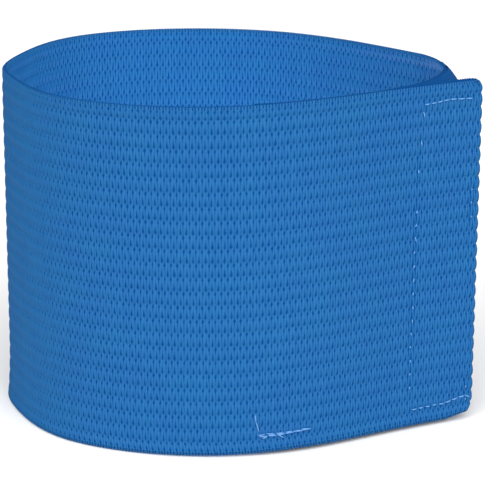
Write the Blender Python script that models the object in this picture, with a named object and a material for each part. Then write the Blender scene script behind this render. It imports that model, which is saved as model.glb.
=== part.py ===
"""Elastic armband: one strip of ribbed elastic webbing, closed into a loop that stands on its edge.

The outer end is a flap with a folded hem. It lies over the plain inner end, and a flat fastener
patch between the two holds the loop shut. Units are metres and +Z runs across the webbing. The
loop stands on z = 0 with its box centred over the origin, and its flap ends at the right, +X,
on the front, -Y.
"""

import math

import bmesh
import bpy
import numpy as np

# Webbing
BAND_WIDTH = 0.100
RIB_COUNT = 25
CREST_THICKNESS = 0.0016
GROOVE_THICKNESS = 0.0010

# Loop, measured to the middle of the webbing
LOOP_WIDTH = 0.1335
LOOP_DEPTH = 0.103

# Closure, measured along the flap from its folded end
HEM_DEPTH = 0.024
TUCK_START = 0.028
OVERLAP = 0.068
LAYER_GAP = 0.0003
PATCH_LENGTH = 0.046
PATCH_THICKNESS = 0.0016
PATCH_INSET = 0.0040
PATCH_CLEARANCE = 0.0005

# How far the bend's curve runs on straight from the back wall and from the tucked end
BACK_REACH = 0.0235
TUCK_REACH = 0.0250

# How the soft edges stand: the flap sits high, the rim curls in and the foot spreads. The curl
# grows up the rim by the power RIM_BOW.
FLAP_LIFT = 0.0009
RIM_CURL = 0.0046
RIM_REACH = 0.0070
RIM_BOW = 1.5
FOOT_SPREAD = 0.0009
FOOT_REACH = 0.0180

# The flap's folded end: the stitches pull its corners back and its foot up, and it leans out at
# the top, turned about the height where LEAN_PIVOT of the width lies below
CORNER_PULL = 0.0017
TOP_CORNER_REACH = 0.0032
FOOT_CORNER_REACH = 0.0060
FOOT_RISE = 0.0012
END_LEAN = 0.0007
LEAN_PIVOT = 0.3

# Places round the loop, from the flap's end by the left to the bend. Across and deep are shares
# of LOOP_WIDTH and LOOP_DEPTH, lift of FLAP_LIFT, curl of RIM_CURL and foot of FOOT_SPREAD.
PLACE_COLUMNS = ("place", "across", "deep", "lift", "curl", "foot")
PLACES = (
    ("flap end", 1.000, 0.289, 1.0, 0.00, 0.0),
    ("flap", 0.884, 0.216, 1.0, 0.00, 0.0),
    ("overlap", 0.777, 0.139, 1.0, 0.00, 0.0),
    ("front right", 0.624, 0.039, 1.0, 0.00, 0.0),
    ("front", 0.454, 0.000, 0.3, 0.00, 0.0),
    ("front left", 0.276, 0.038, 0.0, 0.00, 0.2),
    ("left corner", 0.119, 0.158, 0.0, 0.00, 0.8),
    ("left front", 0.029, 0.350, 0.0, 0.03, 1.0),
    ("left", 0.000, 0.494, 0.0, 0.05, 1.0),
    ("left back", 0.022, 0.645, 0.0, 0.05, 0.8),
    ("back corner", 0.114, 0.867, 0.0, 0.03, 0.3),
    ("back left", 0.272, 0.978, 0.0, 0.00, 0.0),
    ("back", 0.434, 1.000, 0.0, 0.00, 0.0),
    ("back right", 0.596, 0.957, 0.0, 0.03, 0.0),
    ("right back", 0.756, 0.831, 0.0, 0.08, 0.0),
    ("bend", 0.908, 0.662, 0.0, 0.35, 0.0),
)

# The rim's curl round the bend, from the back wall to the tuck, as shares of RIM_CURL
BEND_CURLS = (0.35, 1.00, 0.85, 0.30, 0.00)

# Spacing of the sections that the walls are built through
SECTION_TURN = math.radians(11)
SECTION_REACH = 0.020
LAYER_STEP = 0.008
FOLD_STEPS = 6
TRACE_STEP = 0.0005

WEBBING_BLUE = (0.022, 0.156, 0.451, 1.0)
PATCH_BLUE = (0.012, 0.090, 0.290, 1.0)

# Places of the layers, counted from the middle of the flap's outer layer into the loop
HEM_OFFSET = CREST_THICKNESS + LAYER_GAP
PATCH_OFFSET = (CREST_THICKNESS + PATCH_THICKNESS) / 2 + LAYER_GAP
INNER_OFFSET = max(HEM_OFFSET, PATCH_OFFSET + (PATCH_THICKNESS - CREST_THICKNESS) / 2) + HEM_OFFSET


def column(name):
    """The named column of PLACES."""
    return np.array([row[PLACE_COLUMNS.index(name)] for row in PLACES])


def smooth_curve(knots):
    """A natural cubic spline through the knots: closely spaced points, and each one's chord run."""
    run = np.concatenate([[0.0], np.cumsum(np.linalg.norm(np.diff(knots, axis=0), axis=1))])
    gap = np.diff(run)
    slope = np.diff(knots, axis=0) / gap[:, None]
    matrix = np.eye(len(knots))
    change = np.zeros_like(knots)
    for i in range(1, len(knots) - 1):
        matrix[i, i - 1 : i + 2] = gap[i - 1], 2 * (gap[i - 1] + gap[i]), gap[i]
        change[i] = 6 * (slope[i] - slope[i - 1])
    bend = np.linalg.solve(matrix, change)
    at = np.linspace(0.0, run[-1], round(run[-1] / TRACE_STEP) + 1)
    span = np.clip(np.searchsorted(run, at, side="right") - 1, 0, len(gap) - 1)
    wide = gap[span][:, None]
    gone = (at - run[span])[:, None]
    left = wide - gone
    start = (knots[span] / wide - bend[span] * wide / 6) * left
    end = (knots[span + 1] / wide - bend[span + 1] * wide / 6) * gone
    return start + end + (bend[span] * left**3 + bend[span + 1] * gone**3) / (6 * wide), at, run


def bezier(start, handle, other, end):
    """A cubic curve from start to end, as closely spaced points."""
    count = round(np.linalg.norm(end - start) / TRACE_STEP)
    t = np.linspace(0.0, 1.0, count)[:, None]
    first = (1 - t) ** 3 * start + 3 * (1 - t) ** 2 * t * handle
    return first + 3 * (1 - t) * t**2 * other + t**3 * end


def headings(points):
    """The unit direction of travel at each point."""
    ahead = np.gradient(points, axis=0)
    return ahead / np.linalg.norm(ahead, axis=1)[:, None]


def to_the_right(ahead):
    """The directions turned a quarter to the right, which on the loop's walls is inwards."""
    return np.stack([ahead[:, 1], -ahead[:, 0]], axis=1)


def runs(points):
    """The distance travelled up to each point."""
    return np.concatenate([[0.0], np.cumsum(np.linalg.norm(np.diff(points, axis=0), axis=1))])


def stretch(points, ahead, inward, stand, corner=0.0):
    """A stretch of wall: a row for each section, of its place, heading, way in, stand and corner.

    Corner is the share of the folded end's shape that the section has.
    """
    return np.hstack([points, ahead, inward, stand, np.full((len(points), 1), corner)])


class Flap:
    """The outer layer's path, which the hem, the patch and the inner end lie along."""

    def __init__(self):
        knots = np.stack([column("across") * LOOP_WIDTH, column("deep") * LOOP_DEPTH], axis=1)
        self.points, at, knot_runs = smooth_curve(knots)
        self.ahead = headings(self.points)
        self.inward = to_the_right(self.ahead)
        self.run = runs(self.points)
        stand = [np.interp(at, knot_runs, column(name)) for name in ("lift", "curl", "foot")]
        self.stand = np.stack(stand, axis=1)

    def at(self, run, table):
        """The table's values at the given runs along the path."""
        return np.stack([np.interp(run, self.run, values) for values in table.T], axis=1)

    def layer(self, first, last, offset, lifted):
        """Sections of a layer that lies along the flap, from one run to another."""
        count = max(1, math.ceil(abs(last - first) / LAYER_STEP))
        run = np.linspace(first, last, count + 1)
        ahead, inward = self.at(run, self.ahead), self.at(run, self.inward)
        stand = self.at(run, self.stand) * (lifted, 1.0, 1.0)
        travel = ahead if last > first else -ahead
        sections = stretch(self.at(run, self.points) + inward * offset, travel, inward, stand)
        sections[run == 0.0, -1] = 1.0
        return sections

    def wall(self, first):
        """Sections of the outer layer from the given run to its end, closer where it bends."""
        chosen = []
        turned = travelled = 0.0
        for i in range(np.searchsorted(self.run, first), len(self.run)):
            turned += float(np.linalg.norm(self.ahead[i] - self.ahead[i - 1]))
            travelled += self.run[i] - self.run[i - 1]
            if turned >= SECTION_TURN or travelled >= SECTION_REACH:
                chosen.append(i)
                turned = travelled = 0.0
        keep = np.array([*chosen[:-1], len(self.run) - 1])
        return stretch(self.points[keep], self.ahead[keep], self.inward[keep], self.stand[keep])


def fold(flap):
    """Sections of the hem's fold, half a turn from the hem's layer out to the flap's."""
    angle = np.linspace(0.0, math.pi, FOLD_STEPS + 1)[1:-1, None]
    middle = flap.points[0] + flap.inward[0] * HEM_OFFSET / 2
    out = flap.inward[0] * np.cos(angle) - flap.ahead[0] * np.sin(angle)
    ahead = -flap.inward[0] * np.sin(angle) - flap.ahead[0] * np.cos(angle)
    inward = np.broadcast_to(flap.inward[0], out.shape)
    stand = np.broadcast_to(flap.stand[0], (len(out), 3))
    return stretch(middle + out * HEM_OFFSET / 2, ahead, inward, stand, corner=1.0)


def bend(flap, tucked):
    """Sections of the tight bend from the back wall to the tucked end."""
    start, end = flap.points[-1], tucked[0, :2]
    curve = bezier(start, start + flap.ahead[-1] * BACK_REACH, end - tucked[0, 2:4] * TUCK_REACH, end)
    ahead = headings(curve)
    inward = to_the_right(ahead)
    turn = np.concatenate([[0.0], np.cumsum(np.linalg.norm(np.diff(ahead, axis=0), axis=1))])
    steps = max(2, round(turn[-1] / SECTION_TURN))
    keep = np.searchsorted(turn, np.linspace(0.0, turn[-1], steps + 1)[1:-1])
    share = runs(curve)[keep] / runs(curve)[-1]
    curl = np.interp(share, np.linspace(0.0, 1.0, len(BEND_CURLS)), BEND_CURLS)
    stand = np.stack([np.zeros_like(curl), curl, np.zeros_like(curl)], axis=1)
    return stretch(curve[keep], ahead[keep], inward[keep], stand)


def strip_sections(flap):
    """Sections of the whole strip, from the hem's raw end to the inner end's tip."""
    hem = flap.layer(HEM_DEPTH, 0.0, HEM_OFFSET, 1.0)
    face = flap.layer(0.0, OVERLAP, 0.0, 1.0)
    wall = flap.wall(OVERLAP)
    tucked = flap.layer(TUCK_START, OVERLAP, INNER_OFFSET, 0.0)
    return np.vstack([hem, fold(flap), face, wall, bend(flap, tucked), tucked])


def leaned(sections, height, thickness):
    """The two faces of the wall at a height: points on the travel's left and on its right."""
    point, ahead, inward = sections[:, :2], sections[:, 2:4], sections[:, 4:6]
    lift, curl, foot, corner = sections[:, 6:].T
    to_foot = max(0.0, 1.0 - height / FOOT_CORNER_REACH)
    to_top = max(0.0, 1.0 - (BAND_WIDTH - height) / TOP_CORNER_REACH)
    rim = max(0.0, (height - (BAND_WIDTH - RIM_REACH)) / RIM_REACH) ** RIM_BOW
    base = max(0.0, (FOOT_REACH - height) / FOOT_REACH) ** 2
    pulled = CORNER_PULL * (to_foot**2 + to_top**2)
    lean = curl * RIM_CURL * rim - foot * FOOT_SPREAD * base
    back = corner * (pulled - END_LEAN * (height / BAND_WIDTH - LEAN_PIVOT))
    along = np.column_stack([-inward[:, 1], inward[:, 0]])
    middle = point + inward * lean[:, None] + along * back[:, None]
    side = to_the_right(ahead) * thickness / 2
    level = height + lift * FLAP_LIFT + corner * FOOT_RISE * to_foot
    return [np.column_stack([middle + way * side, level]) for way in (-1, 1)]


def swept(name, sections, rows):
    """A closed wall swept through the sections, given its rows of height and thickness."""
    sides = [leaned(sections, height, thickness) for height, thickness in rows]
    ring = [left for left, _ in sides] + [right for _, right in reversed(sides)]
    mesh = bpy.data.meshes.new(name)
    form = bmesh.new()
    lines = [[form.verts.new(point) for point in line] for line in ring]
    for line, following in zip(lines, [*lines[1:], lines[0]]):
        for i in range(len(line) - 1):
            form.faces.new((line[i], line[i + 1], following[i + 1], following[i]))
    for end in (0, -1):
        for j in range(len(rows) - 1):
            pair = (lines[j], lines[j + 1], lines[-2 - j], lines[-1 - j])
            form.faces.new([line[end] for line in pair])
    bmesh.ops.recalc_face_normals(form, faces=form.faces)
    form.to_mesh(mesh)
    form.free()
    return mesh


def webbing_rows():
    """Heights up the webbing with its thickness at each: a groove, then each rib's crest."""
    rows = []
    for step in range(2 * RIB_COUNT + 1):
        thickness = CREST_THICKNESS if step % 2 else GROOVE_THICKNESS
        rows.append((BAND_WIDTH * step / (2 * RIB_COUNT), thickness))
    return rows


def patch_rows():
    """The foot and the top of the patch, with its thickness."""
    return [(height, PATCH_THICKNESS) for height in (PATCH_INSET, BAND_WIDTH - PATCH_INSET)]


def cloth(name, colour, roughness):
    """A plain woven material."""
    material = bpy.data.materials.new(name)
    material.use_nodes = True
    shader = material.node_tree.nodes["Principled BSDF"]
    shader.inputs["Base Color"].default_value = colour
    shader.inputs["Roughness"].default_value = roughness
    shader.inputs["Metallic"].default_value = 0.0
    return material


def place(mesh, parent, material):
    """An object of the mesh, under the parent."""
    mesh.shade_smooth()
    mesh.set_sharp_from_angle(angle=math.radians(50))
    mesh.materials.append(material)
    piece = bpy.data.objects.new(mesh.name, mesh)
    bpy.context.scene.collection.objects.link(piece)
    piece.parent = parent
    return piece


def main():
    """Build the strip and its fastener patch, centred over the origin."""
    for old in list(bpy.data.objects):
        bpy.data.objects.remove(old)

    flap = Flap()
    band = swept("elastic_band", strip_sections(flap), webbing_rows())
    patch_start = HEM_DEPTH + PATCH_CLEARANCE
    patch_run = flap.layer(patch_start, patch_start + PATCH_LENGTH, PATCH_OFFSET, 1.0)
    patch = swept("fastener_patch", patch_run, patch_rows())

    corners = np.array([vertex.co for vertex in band.vertices])
    armband = bpy.data.objects.new("armband", None)
    bpy.context.scene.collection.objects.link(armband)
    armband.location.xy = -(corners.min(axis=0) + corners.max(axis=0))[:2] / 2
    place(band, armband, cloth("woven elastic, blue", WEBBING_BLUE, 0.85))
    place(patch, armband, cloth("hook and loop tape, blue", PATCH_BLUE, 0.95))


main()
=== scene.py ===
"""Elastic armband: the webbing's yarns, selvedges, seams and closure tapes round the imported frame.

Everything is placed on the strip of webbing by three measures: the run along its path from the
hem's raw end, the height up its width, and the distance out from its middle, to the left of the
way that the path goes. The path is the one that the part's solids follow. Units are metres.
"""

import math

import bpy
import numpy as np
from bpy.props import FloatProperty, FloatVectorProperty, PointerProperty
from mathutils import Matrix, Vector


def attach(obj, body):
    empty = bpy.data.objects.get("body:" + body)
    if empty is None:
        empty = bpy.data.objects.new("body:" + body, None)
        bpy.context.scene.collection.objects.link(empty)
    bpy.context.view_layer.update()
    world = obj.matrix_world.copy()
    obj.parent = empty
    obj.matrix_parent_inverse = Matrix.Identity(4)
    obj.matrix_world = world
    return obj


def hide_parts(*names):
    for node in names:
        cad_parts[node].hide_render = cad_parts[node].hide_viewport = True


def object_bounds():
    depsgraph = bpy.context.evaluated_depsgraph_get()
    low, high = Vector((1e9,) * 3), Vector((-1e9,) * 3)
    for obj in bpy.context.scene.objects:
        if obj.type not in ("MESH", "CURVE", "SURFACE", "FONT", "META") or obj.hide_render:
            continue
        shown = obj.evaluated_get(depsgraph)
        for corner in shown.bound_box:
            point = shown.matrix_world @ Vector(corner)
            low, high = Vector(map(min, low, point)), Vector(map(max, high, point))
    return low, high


bl_info = {
    "name": "Elastic Armband",
    "version": (1, 0, 0),
    "blender": (4, 5, 0),
    "location": "View3D > Sidebar > Armband",
    "description": "Weaves, sews and stages the elastic armband round its packed frame",
    "category": "Add Mesh",
}

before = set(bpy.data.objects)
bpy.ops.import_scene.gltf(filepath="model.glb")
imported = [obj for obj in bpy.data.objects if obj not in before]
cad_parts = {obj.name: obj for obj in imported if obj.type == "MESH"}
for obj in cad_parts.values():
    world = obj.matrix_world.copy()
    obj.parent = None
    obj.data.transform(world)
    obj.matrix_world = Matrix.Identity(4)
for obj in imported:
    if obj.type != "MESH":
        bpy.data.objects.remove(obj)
CAD_BOX = [list(corner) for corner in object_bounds()]
BODY = "root"

# The part's own sizes: the webbing and the loop
BAND_WIDTH = 0.100
RIB_COUNT = 25
RIB_HEIGHT = BAND_WIDTH / RIB_COUNT
CREST_THICKNESS = 0.0016
GROOVE_THICKNESS = 0.0010
LOOP_WIDTH = 0.1335
LOOP_DEPTH = 0.103

# The part's own sizes: the closure, measured along the flap from its folded end
HEM_DEPTH = 0.024
TUCK_START = 0.028
OVERLAP = 0.068
LAYER_GAP = 0.0003
PATCH_LENGTH = 0.046
PATCH_THICKNESS = 0.0016
PATCH_INSET = 0.0040
PATCH_CLEARANCE = 0.0005
HEM_OFFSET = CREST_THICKNESS + LAYER_GAP
PATCH_OFFSET = (CREST_THICKNESS + PATCH_THICKNESS) / 2 + LAYER_GAP
INNER_OFFSET = max(HEM_OFFSET, PATCH_OFFSET + (PATCH_THICKNESS - CREST_THICKNESS) / 2) + HEM_OFFSET

# The part's own sizes: the bend, the soft edges and the folded end
BACK_REACH = 0.0235
TUCK_REACH = 0.0250
FLAP_LIFT = 0.0009
RIM_CURL = 0.0046
RIM_REACH = 0.0070
RIM_BOW = 1.5
FOOT_SPREAD = 0.0009
FOOT_REACH = 0.0180
CORNER_PULL = 0.0017
TOP_CORNER_REACH = 0.0032
FOOT_CORNER_REACH = 0.0060
FOOT_RISE = 0.0012
CORNER_FADE = 0.0080
END_LEAN = 0.0007
LEAN_PIVOT = 0.3
TRACE_STEP = 0.0005

# Places along the flap's path, from its folded end round to the bend. Across and deep are shares of
# the loop's width and depth. Lift, curl and foot say how much of the flap's lift, the rim's curl and
# the foot's spread there is. The curls of the bend follow on.
PLACE_COLUMNS = ("place", "across", "deep", "lift", "curl", "foot")
PLACES = (
    ("flap end", 1.000, 0.289, 1.0, 0.00, 0.0),
    ("flap", 0.884, 0.216, 1.0, 0.00, 0.0),
    ("overlap", 0.777, 0.139, 1.0, 0.00, 0.0),
    ("front right", 0.624, 0.039, 1.0, 0.00, 0.0),
    ("front", 0.454, 0.000, 0.3, 0.00, 0.0),
    ("front left", 0.276, 0.038, 0.0, 0.00, 0.2),
    ("left corner", 0.119, 0.158, 0.0, 0.00, 0.8),
    ("left front", 0.029, 0.350, 0.0, 0.03, 1.0),
    ("left", 0.000, 0.494, 0.0, 0.05, 1.0),
    ("left back", 0.022, 0.645, 0.0, 0.05, 0.8),
    ("back corner", 0.114, 0.867, 0.0, 0.03, 0.3),
    ("back left", 0.272, 0.978, 0.0, 0.00, 0.0),
    ("back", 0.434, 1.000, 0.0, 0.00, 0.0),
    ("back right", 0.596, 0.957, 0.0, 0.03, 0.0),
    ("right back", 0.756, 0.831, 0.0, 0.08, 0.0),
    ("bend", 0.908, 0.662, 0.0, 0.35, 0.0),
)
BEND_CURLS = (0.35, 1.00, 0.85, 0.30, 0.00)

# How a rib swells from its groove to its crest, and how far the groove draws the folded end in
RIB_FULLNESS = 0.7
END_SCALLOP = 0.00020

# The rows of a yarn down one rib, from the groove above it. Down is a share of the rib's height.
# Upper and lower are how far the slots open under the groove and over the next one.
WEAVE_COLUMNS = ("row", "down", "upper", "lower")
WEAVE_ROWS = (
    ("groove", 0.00, 0.00, 0.00),
    ("upper slot's top", 0.05, 0.35, 0.00),
    ("upper slot", 0.13, 1.00, 0.00),
    ("upper slot's tail", 0.30, 0.28, 0.00),
    ("body", 0.50, 0.00, 0.06),
    ("lower slot's tail", 0.70, 0.00, 0.48),
    ("lower slot", 0.86, 0.00, 1.00),
    ("lower slot's end", 0.93, 0.00, 0.35),
)

# The heads that the yarns end in at the webbing's edges: how deep each row lies under the edge, and
# how far out from the webbing's middle. The weave starts under them.
HEAD_COLUMNS = ("row", "deep", "out")
HEAD_ROWS = (
    ("tucked in", 0.00040, 0.00030),
    ("top", 0.00026, 0.00046),
    ("brow", 0.00078, 0.00086),
    ("neck", 0.00112, 0.00066),
)
HEAD_DEPTH = 0.00116
HEAD_GAP = 0.00014

# What keeps the yarns from being all alike, as shares of the pitch and of the slot
YARN_WANDER = 0.09
SLOT_SPREAD = 0.45
WEAVE_SEED = 7

# A yarn is rounder by this share where a slot is open beside it
SLOT_ROUNDING = 0.7

# The weave is drawn askew along the lowest rib
FOOT_LEAN = 0.0006

# The core stands this far under the yarns' crests, and under their heads. From one of its sections
# to the next it turns and runs this far at most.
CORE_DEPTH = 0.00025
CORE_DROP = 0.00030
CORE_TURN = math.radians(7)
CORE_REACH = 0.0030


def linear(code):
    """The linear colour of an sRGB hex code."""
    parts = [int(code[i : i + 2], 16) / 255 for i in (0, 2, 4)]
    return tuple(p / 12.92 if p <= 0.04045 else ((p + 0.055) / 1.055) ** 2.4 for p in parts)


def named(columns, row):
    """A row's values by the names of its columns."""
    return dict(zip(columns, row))


def column(rows, columns, name):
    """The named column of a table's rows."""
    return np.array([named(columns, row)[name] for row in rows])


def smooth_curve(knots):
    """A natural cubic spline through the knots: closely spaced points, and each one's chord run."""
    run = runs(knots)
    gap = np.diff(run)
    slope = np.diff(knots, axis=0) / gap[:, None]
    matrix = np.eye(len(knots))
    change = np.zeros_like(knots)
    for i in range(1, len(knots) - 1):
        matrix[i, i - 1 : i + 2] = gap[i - 1], 2 * (gap[i - 1] + gap[i]), gap[i]
        change[i] = 6 * (slope[i] - slope[i - 1])
    bend = np.linalg.solve(matrix, change)
    at = np.linspace(0.0, run[-1], round(run[-1] / TRACE_STEP) + 1)
    span = np.clip(np.searchsorted(run, at, side="right") - 1, 0, len(gap) - 1)
    wide = gap[span][:, None]
    gone = (at - run[span])[:, None]
    left = wide - gone
    start = (knots[span] / wide - bend[span] * wide / 6) * left
    end = (knots[span + 1] / wide - bend[span + 1] * wide / 6) * gone
    return start + end + (bend[span] * left**3 + bend[span + 1] * gone**3) / (6 * wide), at, run


def bezier(start, handle, other, end):
    """A cubic curve from start to end, as closely spaced points."""
    count = round(np.linalg.norm(end - start) / TRACE_STEP)
    t = np.linspace(0.0, 1.0, count)[:, None]
    first = (1 - t) ** 3 * start + 3 * (1 - t) ** 2 * t * handle
    return first + 3 * (1 - t) * t**2 * other + t**3 * end


def headings(points):
    """The unit direction of travel at each point."""
    ahead = np.gradient(points, axis=0)
    return ahead / np.linalg.norm(ahead, axis=1)[:, None]


def to_the_right(ahead):
    """The directions turned a quarter to the right, which on the loop's walls is inwards."""
    return np.stack([ahead[:, 1], -ahead[:, 0]], axis=1)


def runs(points):
    """The distance travelled up to each point."""
    return np.concatenate([[0.0], np.cumsum(np.linalg.norm(np.diff(points, axis=0), axis=1))])


def stretch(points, ahead, inward, stand, corner):
    """A stretch of path: a row for each station, of its place, heading, way in, stand and corner.

    Stand holds the lift, curl and foot of PLACES, and corner goes from 0 to 1 at the folded end.
    """
    return np.hstack([points, ahead, inward, stand, corner[:, None]])


def rib_swell(height):
    """How full the rib is at a height, from 0 in a groove to 1 on a crest."""
    return np.abs(np.sin(np.pi * height / RIB_HEIGHT)) ** RIB_FULLNESS


def webbing_half(height):
    """The distance from the webbing's middle to its yarns' crests at a height."""
    return (GROOVE_THICKNESS + (CREST_THICKNESS - GROOVE_THICKNESS) * rib_swell(height)) / 2


class Flap:
    """The outer layer's path, which the hem, the patch and the inner end lie along."""

    def __init__(self):
        across, deep = (column(PLACES, PLACE_COLUMNS, name) for name in ("across", "deep"))
        knots = np.stack([across * LOOP_WIDTH, deep * LOOP_DEPTH], axis=1)
        self.points, at, knot_runs = smooth_curve(knots)
        self.ahead = headings(self.points)
        self.inward = to_the_right(self.ahead)
        self.run = runs(self.points)
        stand = [column(PLACES, PLACE_COLUMNS, name) for name in ("lift", "curl", "foot")]
        self.stand = np.stack([np.interp(at, knot_runs, values) for values in stand], axis=1)

    def layer(self, first, last, offset, lifted):
        """Stations of a layer that lies along the flap, from one run to another.

        It lies inwards by the offset, and lifted is the share of the flap's lift that it has.
        """
        run = np.linspace(first, last, round(abs(last - first) / TRACE_STEP) + 1)
        at = [
            np.stack([np.interp(run, self.run, values) for values in table.T], axis=1)
            for table in (self.points, self.ahead, self.inward, self.stand)
        ]
        points, ahead, inward, stand = at
        travel = ahead if last > first else -ahead
        corner = np.clip(1.0 - run / CORNER_FADE, 0.0, 1.0)
        return stretch(points + inward * offset, travel, inward, stand * (lifted, 1.0, 1.0), corner)

    def fold(self):
        """Stations of the hem's fold, half a turn from the hem's layer out to the flap's."""
        # The first and the last are left to the layers that it joins
        count = round(math.pi * HEM_OFFSET / 2 / TRACE_STEP) + 3
        angle = np.linspace(0.0, math.pi, count)[1:-1, None]
        middle = self.points[0] + self.inward[0] * HEM_OFFSET / 2
        out = self.inward[0] * np.cos(angle) - self.ahead[0] * np.sin(angle)
        ahead = -self.inward[0] * np.sin(angle) - self.ahead[0] * np.cos(angle)
        inward = np.broadcast_to(self.inward[0], out.shape)
        stand = np.broadcast_to(self.stand[0], (len(out), 3))
        return stretch(middle + out * HEM_OFFSET / 2, ahead, inward, stand, np.ones(len(out)))

    def bend(self, tucked):
        """Stations of the tight bend from the back wall to the tucked end."""
        start, end = self.points[-1], tucked[0, :2]
        onward, back = self.ahead[-1] * BACK_REACH, tucked[0, 2:4] * TUCK_REACH
        curve = bezier(start, start + onward, end - back, end)
        share = runs(curve) / runs(curve)[-1]
        curl = np.interp(share, np.linspace(0.0, 1.0, len(BEND_CURLS)), BEND_CURLS)
        ahead = headings(curve)
        stand = np.stack([np.zeros_like(curl), curl, np.zeros_like(curl)], axis=1)
        return stretch(curve, ahead, to_the_right(ahead), stand, np.zeros_like(curl))[1:-1]


class Strip:
    """The webbing's path from the hem's raw end to the inner end's tip."""

    def __init__(self):
        flap = Flap()
        hem = flap.layer(HEM_DEPTH, 0.0, HEM_OFFSET, 1.0)
        fold = flap.fold()
        wall = flap.layer(0.0, flap.run[-1], 0.0, 1.0)
        tucked = flap.layer(TUCK_START, OVERLAP, INNER_OFFSET, 0.0)
        self.table = np.vstack([hem, fold, wall, flap.bend(tucked), tucked])
        self.run = runs(self.table[:, :2])
        self.length = self.run[-1]
        self.flap_start = self.run[len(hem) + len(fold)]
        self.tuck_start = self.run[-len(tucked)]
        # The part's box is centred, and the path is moved with it
        low, high = (np.array(corner) for corner in CAD_BOX)
        self.shift = np.zeros(3)
        self.shift = (low + high) / 2 - self.middle_of_box()
        self.shift[2] = 0.0

    def middle_of_box(self):
        """The middle of the box round the CAD's wall, as this path gives it."""
        crests = (np.arange(RIB_COUNT) + 0.5) * RIB_HEIGHT
        corners = []
        for side in (-1, 1):
            wall = self.place(self.run[:, None], crests[None, :], side * CREST_THICKNESS / 2)
            corners.append(wall.reshape(-1, 3))
        cloud = np.vstack(corners)
        return (cloud.min(axis=0) + cloud.max(axis=0)) / 2

    def place(self, run, height, out):
        """Points at runs along the strip, heights up it and distances out from its middle."""
        run, height, out = np.broadcast_arrays(run, height, out)
        columns = [np.interp(run, self.run, values) for values in self.table.T]
        x, y, ahead_x, ahead_y, in_x, in_y, lift, curl, foot, corner = columns
        to_foot = np.clip(1.0 - height / FOOT_CORNER_REACH, 0.0, None)
        to_top = np.clip(1.0 - (BAND_WIDTH - height) / TOP_CORNER_REACH, 0.0, None)
        rim = np.clip((height - (BAND_WIDTH - RIM_REACH)) / RIM_REACH, 0.0, None) ** RIM_BOW
        base = np.clip((FOOT_REACH - height) / FOOT_REACH, 0.0, None) ** 2
        pulled = CORNER_PULL * (to_foot**2 + to_top**2) + END_SCALLOP * (1.0 - rib_swell(height))
        lean = curl * RIM_CURL * rim - foot * FOOT_SPREAD * base
        back = corner * (pulled - END_LEAN * (height / BAND_WIDTH - LEAN_PIVOT))
        size = np.hypot(ahead_x, ahead_y)
        x = x + in_x * lean - in_y * back - ahead_y / size * out
        y = y + in_y * lean + in_x * back + ahead_x / size * out
        level = height + lift * FLAP_LIFT + corner * FOOT_RISE * to_foot
        return np.stack([x, y, level], axis=-1) + self.shift

    def evenly(self, first, last, step, out):
        """Runs that are a step apart where the wall lies that far out from its middle."""
        fine = np.arange(first, last, TRACE_STEP / 2)
        gone = runs(self.place(fine, BAND_WIDTH / 2, out)[:, :2])
        count = round(gone[-1] / step)
        return np.interp(np.linspace(0.0, gone[-1], count + 1), gone, fine)

    def turned(self, most_turn, most_run):
        """Runs of sections, closer together where the path turns."""
        chosen = [0]
        ahead = self.table[:, 2:4]
        turn = np.concatenate([[0.0], np.cumsum(np.linalg.norm(np.diff(ahead, axis=0), axis=1))])
        for i in range(1, len(self.run)):
            last = chosen[-1]
            if turn[i] - turn[last] >= most_turn or self.run[i] - self.run[last] >= most_run:
                chosen.append(i)
        return np.append(self.run[chosen[:-1]], self.length)


STRIP = Strip()


def add_node(tree, kind, **inputs):
    """A node of the kind, with its inputs set to values or linked to sockets by their names."""
    node = tree.nodes.new(kind)
    for name, value in inputs.items():
        socket = node.inputs[name.replace("_", " ")]
        if isinstance(value, bpy.types.NodeSocket):
            tree.links.new(value, socket)
        else:
            socket.default_value = value
    return node


def new_material(name):
    """A new material, with its nodes and its shader."""
    material = bpy.data.materials.new(name)
    material.use_nodes = True
    return material, material.node_tree, material.node_tree.nodes["Principled BSDF"]


def mesh_piece(name, points, faces, material):
    """A smooth piece of the armband from its points and faces."""
    mesh = bpy.data.meshes.new(name)
    mesh.from_pydata(points, [], faces)
    mesh.shade_smooth()
    mesh.materials.append(material)
    piece = bpy.data.objects.new(name, mesh)
    bpy.context.scene.collection.objects.link(piece)
    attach(piece, BODY)
    return piece


def grid_faces(rows, columns, flip=False, closed=False):
    """The four-cornered faces of a grid of points, that may close on itself across its columns."""
    index = np.arange(rows * columns).reshape(rows, columns)
    if closed:
        index = np.hstack([index, index[:, :1]])
    corners = [index[:-1, :-1], index[:-1, 1:], index[1:, 1:], index[1:, :-1]]
    if flip:
        corners.reverse()
    return np.stack(corners, axis=-1).reshape(-1, 4)


def tubes(lines, aside, radii, sides):
    """Round strands along lines of points. Aside is a direction across each strand.

    Lines are arrays of (strand, point, 3), aside of (strand, 3) and radii of (strand, point).
    """
    count, length = lines.shape[:2]
    along = np.gradient(lines, axis=1)
    along /= np.linalg.norm(along, axis=2)[..., None]
    across = aside[:, None, :] - along * np.sum(along * aside[:, None, :], axis=2)[..., None]
    across /= np.linalg.norm(across, axis=2)[..., None]
    upward = np.cross(along, across)
    angle = np.arange(sides) * 2 * np.pi / sides
    ring = across[:, :, None] * np.cos(angle)[:, None] + upward[:, :, None] * np.sin(angle)[:, None]
    points = lines[:, :, None] + ring * radii[:, :, None, None]
    one = grid_faces(length, sides, closed=True)
    walls = one[None] + (np.arange(count) * length * sides)[:, None, None]
    faces = walls.reshape(-1, 4).tolist()
    for first in range(0, count * length * sides, length * sides):
        last = first + (length - 1) * sides
        faces.append(list(range(first + sides - 1, first - 1, -1)))
        faces.append(list(range(last, last + sides)))
    return points.reshape(-1, 3), faces


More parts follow.
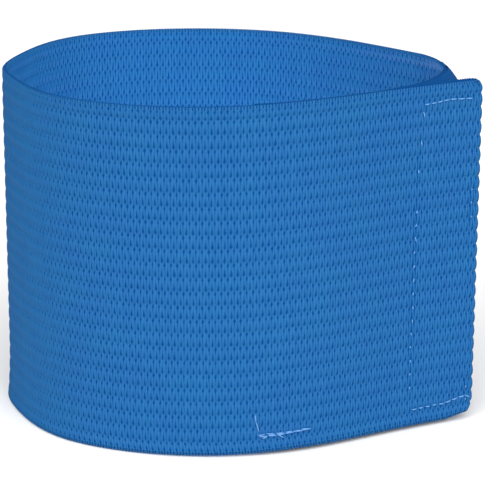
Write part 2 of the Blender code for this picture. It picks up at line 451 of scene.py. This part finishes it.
# Seams. A row goes from its run and height to the next two. Runs are counted from the flap's folded
# end, also on the inner end under it, and heights up the webbing. Pitch is from stitch to stitch,
# shown the share of it that a stitch shows, and loose how far the stitches stray.
SEAM_COLUMNS = ("seam", "run", "height", "to_run", "to_height", "pitch", "shown", "loose")
HEM_SEAMS = (
    ("top, left", 0.0172, 0.0944, 0.0090, 0.0952, 0.0021, 0.86, 0.00005),
    ("top, right", 0.0090, 0.0952, 0.0018, 0.0948, 0.0021, 0.86, 0.00005),
    ("bottom, left", 0.0195, 0.0052, 0.0083, 0.0056, 0.0022, 0.66, 0.00008),
    ("bottom, right", 0.0083, 0.0056, 0.0015, 0.0069, 0.0023, 0.98, 0.00005),
    ("bottom, over the fold", 0.0015, 0.0069, -0.0003, 0.0060, 0.0019, 1.00, 0.00000),
    ("left, upper", 0.0168, 0.0957, 0.0189, 0.0715, 0.0080, 0.16, 0.00010),
    ("left, middle", 0.0189, 0.0660, 0.0196, 0.0380, 0.0040, 0.30, 0.00015),
    ("left, lower", 0.0196, 0.0380, 0.0202, 0.0100, 0.0040, 0.18, 0.00015),
    ("right, upper", 0.0012, 0.0703, 0.0012, 0.0585, 0.0040, 0.12, 0.00010),
    ("right, lower", 0.0014, 0.0114, 0.0014, 0.0038, 0.0038, 0.12, 0.00010),
)
TACK_SEAMS = (
    ("tack", 0.0676, 0.0052, 0.0521, 0.0057, 0.0026, 0.95, 0.00012),
    ("tack, back again", 0.0532, 0.0059, 0.0672, 0.0049, 0.0023, 0.95, 0.00018),
    ("tack, once more", 0.0680, 0.0056, 0.0526, 0.0058, 0.0024, 0.85, 0.00024),
    ("drawn thread, upper", 0.0686, 0.0118, 0.0684, 0.0096, 0.0022, 1.00, 0.00000),
    ("drawn thread, lower", 0.0684, 0.0098, 0.0675, 0.0066, 0.0033, 1.00, 0.00000),
    ("thread's tail", 0.0625, 0.0056, 0.0603, 0.0040, 0.0027, 1.00, 0.00000),
)
LOOP_TAPE_SEAMS = (
    ("top", 0.0310, 0.0925, 0.0660, 0.0925, 0.0024, 0.75, 0.00005),
    ("bottom", 0.0310, 0.0075, 0.0660, 0.0075, 0.0024, 0.75, 0.00005),
    ("outer end", 0.0310, 0.0900, 0.0310, 0.0100, 0.0040, 0.40, 0.00005),
    ("inner end", 0.0660, 0.0900, 0.0660, 0.0100, 0.0040, 0.40, 0.00005),
)
STITCH_POINTS = 9
STITCH_SIDES = 8
STITCH_DIP = 0.00025
SEAM_SEED = 11

# A stitch shows its seam's share times a number between these, and this power fills out its arch
STITCH_SPREAD = (0.85, 1.05)
STITCH_ARCH = 0.5

# A stitch's ends are rounded off by a half wave, from this far into it and to this power. Its sides
# are measured from a way that no stitch runs in.
TAPER_START = 0.12
TAPER_POWER = 0.35
THREAD_ASIDE = (0.3, 0.9, 0.4)

# How a seam draws the webbing in: how deep, and how far to either side. The tack's rows lie on each
# other, and the first alone draws it in.
SEAM_DENT = 0.00012
DENT_REACH = 0.0009

# Selvedge loops, which stand in a row between the heads of the two sides' yarns: how long their
# legs are, how far apart these stand across the webbing, and how far each leans along it
EDGE_POINTS = 7
EDGE_SIDES = 6
EDGE_LEGS = 0.0009
EDGE_SPREAD = 0.00014
EDGE_LEAN = 0.0002

# Closure tapes: how round their edges are, and how far apart their points stand along and up them
TAPE_EDGE = 0.00018
TAPE_EDGE_POINTS = 3
TAPE_STEP = 0.0010
TAPE_ROW = 0.0020

# The hook tape is on the flap. Its hooks are made along the strip that shows past the inner end.
HOOK_TAPE_THICKNESS = 0.00055
HOOK_PITCH = 0.0009
HOOK_HEIGHT = 0.00048
HOOK_RADIUS = 0.00009
HOOK_STRIP = 0.0034
HOOK_SIDES = 5

# A hook is a wire that bends over, by HOOK_BEND in all. Its points stand at these shares of its
# height, and lower as long as it has bent less than HOOK_CLIMB. Past HOOK_STEM it leans to the side
# along an arc, whose radius is HOOK_LEAN times the wire's.
HOOK_RISES = (0.0, 0.6, 0.9, 1.0, 1.0, 0.92, 0.72)
HOOK_BEND = 1.25 * np.pi
HOOK_CLIMB = 2.0
HOOK_STEM = 0.8
HOOK_LEAN = 2.2

# The loop tape is on the inner end, and runs on round the bend, where its dark face paints the shade in
# the wedge behind the flap. The outside yarns and the selvedges end under it.
LOOP_TAPE_INSET = 0.0012
LOOP_TAPE_RIM = 0.0004
LOOP_TAPE_REACH = 0.0480
LOOP_TAPE_THICKNESS = 0.00040
LOOP_TAPE_GAP = 0.00005
OUTSIDE_LAP = 0.0060
OUTSIDE_END = STRIP.tuck_start - LOOP_TAPE_REACH + OUTSIDE_LAP

# Polyester's finishes, by the names of their materials, each under what it gives the eye. Bump is
# the strength of the filaments' relief.
FINISH_COLUMNS = ("material", "roughness", "shine", "sheen", "bump")
FINISHES = (
    # Dull, and dark with painted shade, so that the slots between the yarns read as small shadows
    ("inner weave, darkened with painted shade", 0.90, 0.05, 0.0, 0.3),
    # A soft, broad light on each rib, broken up by streaks along the yarns that are partly painted light
    # and shade in the colour
    ("textured polyester yarn, woven", 0.62, 0.22, 0.0, 0.5),
    # A thin dark line of dots on the top rim, in the core's colour, which is painted shade on the rim's top
    ("polyester binding yarn, in painted shade", 0.80, 0.10, 0.0, 0.3),
    # Fuller dots on the bottom rim, in the yarns' own colour, so lighter than the top rim's painted shade
    ("polyester binding yarn, slack", 0.70, 0.20, 0.0, 0.3),
    # Bright, smooth stitches with a small highlight along their crests
    ("pale polyester sewing thread, twisted", 0.50, 0.50, 0.10, 0.4),
    # The same thread in the webbing's blue, which hardly shows
    ("blue polyester sewing thread, twisted", 0.50, 0.50, 0.10, 0.4),
)
POLYESTER_IOR = 1.55
NYLON_IOR = 1.53

# A sheen's colour is the yarn's own, this far towards white
SHEEN_WHITE = 0.5
SHEEN_ROUGHNESS = 0.5

# Real filaments are about 0.02 mm thick, too fine to show, so they are drawn 0.12 mm wide. Each
# is a streak of bump and of painted light and shade in the colour, as long as a yarn's crimp.
FILAMENT_WIDTH = 0.00012
FILAMENT_LENGTH = 0.0016

# Patches in which the dye took alike, the tufts of the tapes' pile, and how deep it stands
DYE_PATCH = 0.0090
PILE_GRAIN = 0.00035
HOOKED_DEPTH = 0.0001
NAPPED_DEPTH = 0.0003

# The range where most of a noise's values lie, the range of the filaments' painted light and shade, and the
# ranges that the pile's shades and the dye's hues stray in
NOISE_RANGE = {"From_Min": 0.3, "From_Max": 0.7}
FILAMENT_PAINTED_LIGHT = {"To_Min": 0.88, "To_Max": 1.12}
PILE_SHADES = {"To_Min": 0.75, "To_Max": 1.2}
DYE_HUES = {"To_Min": 0.4975, "To_Max": 0.5025}

# The camera stands where the photograph's did
CAMERA_AIM = (0.00133, -0.01080, 0.050)
CAMERA_DISTANCE = 0.700
CAMERA_DOWN = math.radians(16.84)
CAMERA_LENS = 180.2
CAMERA_SENSOR = 36.0
CAMERA_NEAR = 0.01
FLOOR_SIZE = 6.0

# The key light is as wide as a large softbox, and comes from this way
KEY_WIDTH = math.radians(80)
KEY_FROM = (0.04, -0.78, 0.62)

# The fill light lies on the floor inside the loop, and stands in for the white floor's glow there
FILL_SIZE = 0.07
FILL_PLACE = (-0.005, -0.005, 0.004)


class ArmbandWeave(bpy.types.PropertyGroup):
    """The yarns that cover the webbing, and their colours."""

    pitch: FloatProperty(
        name="Yarn pitch", description="From one yarn to the next", default=0.00087, unit="LENGTH"
    )
    slot: FloatProperty(
        name="Slot width", description="Widest gap between two yarns", default=0.00038, unit="LENGTH"
    )
    sink: FloatProperty(
        name="Yarn roundness",
        description="How far a yarn's edges lie under its crest",
        default=0.00030,
        unit="LENGTH",
    )
    loop: FloatProperty(
        name="Selvedge loop", description="Thickness of an edge loop", default=0.00046, unit="LENGTH"
    )
    yarn: FloatVectorProperty(
        name="Yarn", description="Dyed polyester yarn", subtype="COLOR", default=linear("08548B")
    )
    # The core's colour is the yarns' blue darkened with painted shade, which shows in the slots between the
    # yarns
    core: FloatVectorProperty(
        name="Core", description="Inner weave and rubber", subtype="COLOR", default=linear("003F79")
    )


class ArmbandSeams(bpy.types.PropertyGroup):
    """The sewing thread."""

    thickness: FloatProperty(
        name="Thread", description="Thickness of the thread", default=0.00040, unit="LENGTH"
    )
    pale: FloatVectorProperty(
        name="Pale thread", description="Thread of the seams that show", subtype="COLOR",
        default=linear("477FB8"),
    )
    matched: FloatVectorProperty(
        name="Matched thread", description="Thread of the hidden seams", subtype="COLOR",
        default=linear("1E62A1"),
    )


class ArmbandClosure(bpy.types.PropertyGroup):
    """The hook and loop tapes."""

    # The tapes' colour is darkened with painted shade, for where the loop tape shows in the wedge behind
    # the flap
    tape: FloatVectorProperty(
        name="Tape", description="Dyed nylon tape", subtype="COLOR", default=linear("084681")
    )


class ArmbandStage(bpy.types.PropertyGroup):
    """The floor and the light."""

    floor: FloatVectorProperty(
        name="Floor", description="Pale paper", subtype="COLOR", default=linear("EBEBEB")
    )
    sky: FloatProperty(name="Room light", description="Even light all round", default=0.55)
    key: FloatProperty(name="Key light", description="Wide, far softbox at the front", default=4.5)
    fill: FloatProperty(
        name="Fill light", description="Small light inside the loop", default=0.17, unit="POWER"
    )


def dent(run, height):
    """How deep the flap's seams draw its face in at runs and heights."""
    depth = np.zeros(np.broadcast(run, height).shape)
    for row in HEM_SEAMS + TACK_SEAMS[:1]:
        seam = named(SEAM_COLUMNS, row)
        start = np.array([STRIP.flap_start + seam["run"], seam["height"]])
        way = np.array([STRIP.flap_start + seam["to_run"], seam["to_height"]]) - start
        share = ((run - start[0]) * way[0] + (height - start[1]) * way[1]) / (way @ way)
        share = np.clip(share, 0.0, 1.0)
        away = np.hypot(run - start[0] - share * way[0], height - start[1] - share * way[1])
        depth = np.maximum(depth, SEAM_DENT * np.exp(-((away / DENT_REACH) ** 2)))
    return depth


def polyester(name, colour):
    """Dyed polyester in the finish of its name.

    The dye takes unevenly, the filaments show as fine streaks of bump and of painted light and shade
    in the colour, and on sewing thread a faint sheen lifts the rounded sides.
    """
    finish = next(named(FINISH_COLUMNS, row) for row in FINISHES if row[0] == name)
    material, tree, shader = new_material(name)
    spot = add_node(tree, "ShaderNodeTexCoord").outputs["Object"]
    stretched = add_node(
        tree, "ShaderNodeMapping", Vector=spot, Scale=(1.0, 1.0, FILAMENT_WIDTH / FILAMENT_LENGTH)
    ).outputs["Vector"]
    filaments = add_node(
        tree, "ShaderNodeTexNoise", Vector=stretched, Scale=1.0 / FILAMENT_WIDTH, Detail=2.0
    ).outputs["Fac"]
    patches = add_node(
        tree, "ShaderNodeTexNoise", Vector=spot, Scale=1.0 / DYE_PATCH, Detail=3.0
    ).outputs["Fac"]
    # Painted light and shade: the filaments' streaks lighten and darken the colour
    streaks = add_node(
        tree, "ShaderNodeMapRange", Value=filaments, **NOISE_RANGE, **FILAMENT_PAINTED_LIGHT
    ).outputs["Result"]
    hue = add_node(
        tree, "ShaderNodeMapRange", Value=patches, **NOISE_RANGE, **DYE_HUES
    ).outputs["Result"]
    dyed = add_node(
        tree, "ShaderNodeHueSaturation", Color=(*colour, 1.0), Hue=hue, Value=streaks
    ).outputs["Color"]
    bump = add_node(
        tree, "ShaderNodeBump", Height=filaments, Strength=finish["bump"], Distance=FILAMENT_WIDTH / 2
    ).outputs["Normal"]
    tree.links.new(dyed, shader.inputs["Base Color"])
    tree.links.new(bump, shader.inputs["Normal"])
    shader.inputs["Roughness"].default_value = finish["roughness"]
    shader.inputs["IOR"].default_value = POLYESTER_IOR
    shader.inputs["Specular IOR Level"].default_value = finish["shine"]
    shader.inputs["Sheen Weight"].default_value = finish["sheen"]
    shader.inputs["Sheen Roughness"].default_value = SHEEN_ROUGHNESS
    tint = [SHEEN_WHITE + (1.0 - SHEEN_WHITE) * part for part in colour]
    shader.inputs["Sheen Tint"].default_value = (*tint, 1.0)
    return material


def pile_tape(name, colour, depth):
    """Dyed nylon tape with a napped or hooked face.

    The tape looks dull, finely grainy and darker than the webbing; its dark colour is painted shade where
    it shows in the wedge behind the flap.
    """
    material, tree, shader = new_material(name)
    spot = add_node(tree, "ShaderNodeTexCoord").outputs["Object"]
    grain = add_node(
        tree, "ShaderNodeTexNoise", Vector=spot, Scale=1.0 / PILE_GRAIN, Detail=3.0, Roughness=0.6
    ).outputs["Fac"]
    shade = add_node(
        tree, "ShaderNodeMapRange", Value=grain, **NOISE_RANGE, **PILE_SHADES
    ).outputs["Result"]
    dyed = add_node(tree, "ShaderNodeHueSaturation", Color=(*colour, 1.0), Value=shade).outputs["Color"]
    bump = add_node(
        tree, "ShaderNodeBump", Height=grain, Strength=0.8, Distance=depth
    ).outputs["Normal"]
    tree.links.new(dyed, shader.inputs["Base Color"])
    tree.links.new(bump, shader.inputs["Normal"])
    shader.inputs["Roughness"].default_value = 0.9
    shader.inputs["IOR"].default_value = NYLON_IOR
    shader.inputs["Specular IOR Level"].default_value = 0.05
    return material


class ARMBAND_OT_core(bpy.types.Operator):
    """Make the webbing's core, the closed ribbed wall that the yarns lie on."""

    bl_idname = "armband.core"
    bl_label = "Webbing core"

    def execute(self, context):
        # The core's dark colour is painted shade for the slots between the yarns
        colour = tuple(context.scene.armband_weave.core)
        material = polyester("inner weave, darkened with painted shade", colour)
        step = np.arange(2 * RIB_COUNT + 1)
        height = np.clip(step * RIB_HEIGHT / 2, CORE_DROP, BAND_WIDTH - CORE_DROP)
        half = np.where(step % 2, CREST_THICKNESS, GROOVE_THICKNESS) / 2 - CORE_DEPTH
        run = STRIP.turned(CORE_TURN, CORE_REACH)
        left = STRIP.place(run[:, None], height, half - dent(run[:, None], height))
        right = STRIP.place(run[:, None], height[::-1], -half[::-1])
        ring = np.concatenate([left, right], axis=1)
        count, sides = ring.shape[:2]
        faces = grid_faces(count, sides, closed=True).tolist()
        # The ends are closed by a face for each half rib
        for first, flip in ((0, True), ((count - 1) * sides, False)):
            for j in range(sides // 2 - 1):
                corners = [j, j + 1, sides - 2 - j, sides - 1 - j]
                faces.append([first + k for k in (reversed(corners) if flip else corners)])
        piece = mesh_piece("webbing_core", ring.reshape(-1, 3), faces, material)
        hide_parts("elastic_band")
        return {"FINISHED"}


def woven_side(weave, first, last, side):
    """The yarns on one side of the webbing, as points by yarn, row and column across the yarn."""
    # The lines between the yarns, and the heights of their rows, pressed in under the heads
    random = np.random.default_rng(WEAVE_SEED + side)
    edges = STRIP.evenly(first, last, weave.pitch, side * CREST_THICKNESS / 2)
    count, rows = len(edges), len(WEAVE_ROWS)
    rib, row = np.divmod(np.arange(RIB_COUNT * rows + 1), rows)
    down, upper, lower = (
        column(WEAVE_ROWS, WEAVE_COLUMNS, name)[row] for name in ("down", "upper", "lower")
    )
    height = BAND_WIDTH - (rib + down) * RIB_HEIGHT
    knots = np.array([0.0, RIB_HEIGHT, BAND_WIDTH - RIB_HEIGHT, BAND_WIDTH])
    height = np.interp(height, knots, knots + np.array([HEAD_DEPTH, 0.0, 0.0, -HEAD_DEPTH]))

    # Each line opens into slots and strays, and a yarn lies between two lines
    odd = np.arange(count)[:, None] % 2 == 1
    opening = np.where(odd, lower, upper)
    spread = random.uniform(1.0 - SLOT_SPREAD, 1.0 + SLOT_SPREAD, (count, RIB_COUNT + 1))
    half = weave.slot / 2 * opening * spread[:, rib]
    stray = YARN_WANDER * weave.pitch * random.standard_normal((count, RIB_COUNT + 2))
    stray = stray[:, rib] * (1.0 - down) + stray[:, rib + 1] * down
    middle = edges[:, None] + stray
    left, right = middle[:-1] + half[:-1], middle[1:] - half[1:]
    run = np.stack([left, (left + right) / 2, right], axis=-1)

    # A yarn's crest follows the rib, and its sides sink beside it
    sink = weave.sink * (1.0 + SLOT_ROUNDING * opening)
    under = np.stack([sink[:-1], np.zeros_like(left), sink[1:]], axis=-1)
    out = webbing_half(height)[:, None] - under
    if side > 0:
        out = out - dent(run, height[:, None])

    # The heads go before the first row and after the last
    deep, head = (column(HEAD_ROWS, HEAD_COLUMNS, name) for name in ("deep", "out"))
    head = head[:, None] - weave.sink * np.array([1.0, 0.0, 1.0])
    head = np.broadcast_to(head, (len(out), *head.shape))
    gap = HEAD_GAP * np.array([1.0, 0.0, -1.0])
    heads = [[end + gap] * len(deep) for end in (run[:, :1], run[:, -1:])]
    run = np.concatenate([*heads[0], run, *heads[1]], axis=1)
    out = np.concatenate([head, out, head[:, ::-1]], axis=1)
    height = np.concatenate([BAND_WIDTH - deep, height, deep[::-1]])
    run = run - FOOT_LEAN * np.clip(1.0 - height / RIB_HEIGHT, 0.0, None)[:, None]
    return STRIP.place(run, height[:, None], side * out)


def yarn_piece(name, points, side, material):
    """A piece of the yarns in the array of points."""
    count, rows, columns = points.shape[:3]
    one = grid_faces(rows, columns, flip=side < 0)
    faces = one[None] + (np.arange(count) * rows * columns)[:, None, None]
    mesh_piece(name, points.reshape(-1, 3), faces.reshape(-1, 4), material)


class ARMBAND_OT_yarns(bpy.types.Operator):
    """Weave the yarns that show on both sides of the webbing."""

    bl_idname = "armband.yarns"
    bl_label = "Yarns"

    def execute(self, context):
        weave = context.scene.armband_weave
        material = polyester("textured polyester yarn, woven", tuple(weave.yarn))
        inside_start = STRIP.flap_start + OVERLAP - LOOP_TAPE_INSET
        for name, first, last, side in (
            ("outside", 0.0, OUTSIDE_END, 1),
            ("inside", inside_start, STRIP.length, -1),
        ):
            points = woven_side(weave, first, last, side)
            half = len(points) // 2
            yarn_piece(f"yarns_{name}_1", points[:half], side, material)
            yarn_piece(f"yarns_{name}_2", points[half:], side, material)
        return {"FINISHED"}


class ARMBAND_OT_selvedges(bpy.types.Operator):
    """Stand a row of drawn loops along the webbing's edges, between the yarns' heads."""

    bl_idname = "armband.selvedges"
    bl_label = "Selvedges"

    def execute(self, context):
        weave = context.scene.armband_weave
        # The top rim's loops take the core's colour: painted shade on the rim's top
        shaded_binding = polyester("polyester binding yarn, in painted shade", tuple(weave.core))
        edges = STRIP.evenly(0.0, OUTSIDE_END, weave.pitch, 0.0)
        middle = (edges[:-1] + edges[1:]) / 2
        angle = np.linspace(0.0, np.pi, EDGE_POINTS)
        out = EDGE_SPREAD * np.cos(angle)
        deep = EDGE_LEGS * (1.0 - np.sin(angle)) + weave.loop / 2
        run = middle[:, None] + EDGE_LEAN * np.cos(angle)
        slack = polyester("polyester binding yarn, slack", tuple(weave.yarn))
        for name, height, material in (("top", BAND_WIDTH - deep, shaded_binding), ("bottom", deep, slack)):
            lines = STRIP.place(run, height, out)
            ahead = lines[:, 0] - lines[:, -1]
            aside = np.cross(ahead, (0.0, 0.0, 1.0))
            radii = np.full(lines.shape[:2], weave.loop / 2)
            points, faces = tubes(lines, aside, radii, EDGE_SIDES)
            mesh_piece(f"selvedge_{name}", points, faces, material)
        return {"FINISHED"}


def stitches(rows, start, way, side, thickness, random):
    """The stitches of seams as lines of points.

    Start is where on the strip their runs are counted from, way is 1 or -1 as they are counted
    along it or against it, and side is the side that shows them.
    """
    lines = []
    for row in rows:
        seam = named(SEAM_COLUMNS, row)
        ends = np.array([[seam["run"], seam["height"]], [seam["to_run"], seam["to_height"]]])
        length = np.linalg.norm(ends[1] - ends[0])
        count = max(1, round(length / seam["pitch"]))
        for i in range(count):
            shown = seam["shown"] * random.uniform(*STITCH_SPREAD)
            share = (i + 0.5 + shown * np.linspace(-0.5, 0.5, STITCH_POINTS)) / count
            spot = ends[0] + (ends[1] - ends[0]) * share[:, None]
            spot += np.linspace(random.normal(), random.normal(), STITCH_POINTS)[:, None] * seam["loose"]
            arch = np.sin(np.linspace(0.0, np.pi, STITCH_POINTS)) ** STITCH_ARCH
            lift = (thickness / 2 + STITCH_DIP) * arch
            sunk = STITCH_DIP * (1.0 + (1.0 - seam["shown"]) * random.uniform(0.0, 1.0))
            out = webbing_half(spot[:, 1]) - sunk + lift
            if side > 0:
                out = out - dent(start + way * spot[:, 0], spot[:, 1]) / 2
            lines.append(STRIP.place(start + way * spot[:, 0], spot[:, 1], side * out))
    return np.array(lines)


def thread_piece(name, lines, thickness, material):
    """A piece of sewing thread in short stitches, rounded at their ends."""
    out = np.cross(lines[:, -1] - lines[:, 0], THREAD_ASIDE)
    taper = np.sin(np.linspace(TAPER_START, np.pi - TAPER_START, STITCH_POINTS)) ** TAPER_POWER
    radii = np.broadcast_to(thickness / 2 * taper, lines.shape[:2])
    points, faces = tubes(lines, out, radii, STITCH_SIDES)
    mesh_piece(name, points, faces, material)


class ARMBAND_OT_seams(bpy.types.Operator):
    """Sew the hem, the tack at the hook tape's corner and the loop tape."""

    bl_idname = "armband.seams"
    bl_label = "Seams"

    def execute(self, context):
        seams = context.scene.armband_seams
        thick = seams.thickness
        pale = polyester("pale polyester sewing thread, twisted", tuple(seams.pale))
        matched = polyester("blue polyester sewing thread, twisted", tuple(seams.matched))
        random = np.random.default_rng(SEAM_SEED)
        flap, tuck = STRIP.flap_start, STRIP.tuck_start - TUCK_START
        for name, rows, start, way, side, material in (
            ("hem_seam_outside", HEM_SEAMS, flap, 1, 1, pale),
            ("tack_seam", TACK_SEAMS, flap, 1, 1, pale),
            ("hem_seam_inside", HEM_SEAMS, HEM_DEPTH, -1, 1, matched),
            ("loop_tape_seam", LOOP_TAPE_SEAMS, tuck, 1, -1, matched),
        ):
            lines = stitches(rows, start, way, side, thick, random)
            thread_piece(name, lines, thick, material)
        return {"FINISHED"}


def hook_shape():
    """How high and how far to the side a hook's points stand."""
    bent = np.linspace(0.0, HOOK_BEND, len(HOOK_RISES))
    rise = HOOK_HEIGHT * np.minimum(1.0, bent / HOOK_CLIMB) * HOOK_RISES
    return rise, HOOK_RADIUS * HOOK_LEAN * (1.0 - np.cos(np.maximum(bent - HOOK_STEM, 0.0)))


def tape_slab(name, first, last, middle_out, thickness, inset, material):
    """A closed tape with rounded edges that lies along the webbing, and leans as it does."""
    corner = np.linspace(0.0, np.pi / 2, TAPE_EDGE_POINTS)
    rows = np.arange(inset + TAPE_ROW, BAND_WIDTH - inset - TAPE_ROW / 2, TAPE_ROW)
    arcs = []
    for turn, (up, across) in enumerate(((1, 1), (1, -1), (-1, -1), (-1, 1))):
        angle = np.pi / 2 * (1 - turn) - corner
        height = BAND_WIDTH / 2 + up * (BAND_WIDTH / 2 - inset - TAPE_EDGE)
        out = middle_out + across * (thickness / 2 - TAPE_EDGE)
        arcs.append(np.stack([height + TAPE_EDGE * np.cos(angle), out + TAPE_EDGE * np.sin(angle)], axis=1))
        if turn % 2:
            face = np.full(len(rows), middle_out - up * thickness / 2)
            arcs.append(np.stack([rows[::-up], face], axis=1))
    ring = np.vstack(arcs)
    run = np.linspace(first, last, round((last - first) / TAPE_STEP) + 1)
    points = STRIP.place(run[:, None], ring[:, 0], ring[:, 1])
    count, sides = points.shape[:2]
    faces = grid_faces(count, sides, closed=True).tolist()
    faces.append(list(range(sides - 1, -1, -1)))
    faces.append(list(range((count - 1) * sides, count * sides)))
    return mesh_piece(name, points.reshape(-1, 3), faces, material)


class ARMBAND_OT_closure(bpy.types.Operator):
    """Make the hook tape, the hooks that show past the inner end, and the loop tape."""

    bl_idname = "armband.closure"
    bl_label = "Closure tapes"

    def execute(self, context):
        colour = tuple(context.scene.armband_closure.tape)
        hooked = pile_tape("nylon hook tape, woven and cut", colour, HOOKED_DEPTH)
        napped = pile_tape("nylon loop tape, brushed", colour, NAPPED_DEPTH)
        flap = STRIP.flap_start
        patch_start = HEM_DEPTH + PATCH_CLEARANCE
        patch_end = patch_start + PATCH_LENGTH
        hook_out = -(CREST_THICKNESS / 2 + LAYER_GAP + HOOK_TAPE_THICKNESS / 2)
        loop_out = CREST_THICKNESS / 2 - CORE_DEPTH + LOOP_TAPE_GAP + LOOP_TAPE_THICKNESS / 2
        ends = flap + patch_start, flap + patch_end
        hook_tape = tape_slab("hook_tape", *ends, hook_out, HOOK_TAPE_THICKNESS, PATCH_INSET, hooked)
        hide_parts("fastener_patch")
        # Round the bend the loop tape's dark face is painted shade in the wedge behind the flap
        ends = STRIP.tuck_start - LOOP_TAPE_REACH, STRIP.length - LOOP_TAPE_INSET
        tape_slab("loop_tape", *ends, loop_out, LOOP_TAPE_THICKNESS, LOOP_TAPE_RIM, napped)

        # The hooks stand in rows up the strip, each leaning up the webbing
        hook_run = np.arange(flap + patch_end - HOOK_STRIP, flap + patch_end - HOOK_PITCH / 2, HOOK_PITCH)
        hook_height = np.arange(PATCH_INSET, BAND_WIDTH - PATCH_INSET, HOOK_PITCH) + HOOK_PITCH / 2
        run, height = (grid.reshape(-1, 1) for grid in np.meshgrid(hook_run, hook_height))
        rise, reach = hook_shape()
        face = hook_out - HOOK_TAPE_THICKNESS / 2
        lines = STRIP.place(run, height + reach, face - rise)
        aside = STRIP.place(run + HOOK_PITCH, height, face)[:, 0] - STRIP.place(run, height, face)[:, 0]
        points, faces = tubes(lines, aside, np.full(lines.shape[:2], HOOK_RADIUS), HOOK_SIDES)
        mesh_piece("hooks", points, faces, hooked)
        return {"FINISHED"}


# This operator takes no step: it returns at once and declares nothing
class ARMBAND_OT_cloth(bpy.types.Operator):
    bl_idname = "armband.cloth"
    bl_label = "Declare the cloth"

    def execute(self, context):
        return {"FINISHED"}


def lamp(name, kind, energy):
    """A light of the kind and strength, in the scene."""
    light = bpy.data.lights.new(name, kind)
    light.energy = energy
    piece = bpy.data.objects.new(name, light)
    bpy.context.scene.collection.objects.link(piece)
    return piece


class ARMBAND_OT_stage(bpy.types.Operator):
    """Set the floor, the light and the camera."""

    bl_idname = "armband.stage"
    bl_label = "Stage"

    def execute(self, context):
        stage = context.scene.armband_stage
        # The paper gives an even, pale ground that takes soft shadows and mirrors nothing
        paper, _, shader = new_material("matt white paper")
        shader.inputs["Base Color"].default_value = (*stage.floor, 1.0)
        shader.inputs["Roughness"].default_value = 0.9
        shader.inputs["Specular IOR Level"].default_value = 0.2
        bpy.ops.mesh.primitive_plane_add(size=FLOOR_SIZE)
        floor = context.object
        floor.name = "floor"
        floor.data.materials.append(paper)

        world = bpy.data.worlds.new("even room light")
        world.use_nodes = True
        world.node_tree.nodes["Background"].inputs["Color"].default_value = (1.0, 1.0, 1.0, 1.0)
        world.node_tree.nodes["Background"].inputs["Strength"].default_value = stage.sky
        context.scene.world = world

        key = lamp("front_softbox", "SUN", stage.key)
        key.data.angle = KEY_WIDTH
        key.rotation_euler = Vector(KEY_FROM).to_track_quat("Z", "Y").to_euler()
        fill = lamp("inside_fill", "AREA", stage.fill)
        fill.data.size = FILL_SIZE
        fill.location = FILL_PLACE
        fill.rotation_euler = (math.pi, 0.0, 0.0)
        fill.visible_camera = False

        lens = bpy.data.cameras.new("camera")
        lens.lens = CAMERA_LENS
        lens.sensor_width = CAMERA_SENSOR
        lens.clip_start = CAMERA_NEAR
        camera = bpy.data.objects.new("camera", lens)
        context.scene.collection.objects.link(camera)
        back = (0.0, -math.cos(CAMERA_DOWN), math.sin(CAMERA_DOWN))
        camera.location = [aim + CAMERA_DISTANCE * b for aim, b in zip(CAMERA_AIM, back)]
        camera.rotation_euler = (math.pi / 2 - CAMERA_DOWN, 0.0, 0.0)
        context.scene.camera = camera
        # Colours show as they are lit
        context.scene.view_settings.view_transform = "Standard"
        return {"FINISHED"}


class ARMBAND_PT_panel(bpy.types.Panel):
    """The armband's pieces and their settings."""

    bl_idname = "ARMBAND_PT_panel"
    bl_label = "Elastic Armband"
    bl_space_type = "VIEW_3D"
    bl_region_type = "UI"
    bl_category = "Armband"

    def draw(self, context):
        for operator in OPERATORS:
            self.layout.operator(operator.bl_idname)
        for name, group in SETTINGS:
            box = self.layout.box()
            for value in group.__annotations__:
                box.prop(getattr(context.scene, name), value)


SETTINGS = (
    ("armband_weave", ArmbandWeave),
    ("armband_seams", ArmbandSeams),
    ("armband_closure", ArmbandClosure),
    ("armband_stage", ArmbandStage),
)
OPERATORS = (
    ARMBAND_OT_core,
    ARMBAND_OT_yarns,
    ARMBAND_OT_selvedges,
    ARMBAND_OT_seams,
    ARMBAND_OT_closure,
    ARMBAND_OT_cloth,
    ARMBAND_OT_stage,
)


def register():
    """Register the settings, the operators and the panel."""
    for name, group in SETTINGS:
        bpy.utils.register_class(group)
        setattr(bpy.types.Scene, name, PointerProperty(type=group))
    for cls in (*OPERATORS, ARMBAND_PT_panel):
        bpy.utils.register_class(cls)


def unregister():
    """Take the panel, the operators and the settings out again."""
    for cls in (ARMBAND_PT_panel, *reversed(OPERATORS)):
        bpy.utils.unregister_class(cls)
    for name, group in reversed(SETTINGS):
        delattr(bpy.types.Scene, name)
        bpy.utils.unregister_class(group)


def main():
    """Build the whole scene."""
    register()
    bpy.ops.armband.core()
    bpy.ops.armband.yarns()
    bpy.ops.armband.selvedges()
    bpy.ops.armband.seams()
    bpy.ops.armband.closure()
    bpy.ops.armband.cloth()
    bpy.ops.armband.stage()


if __name__ == "__main__":
    main()
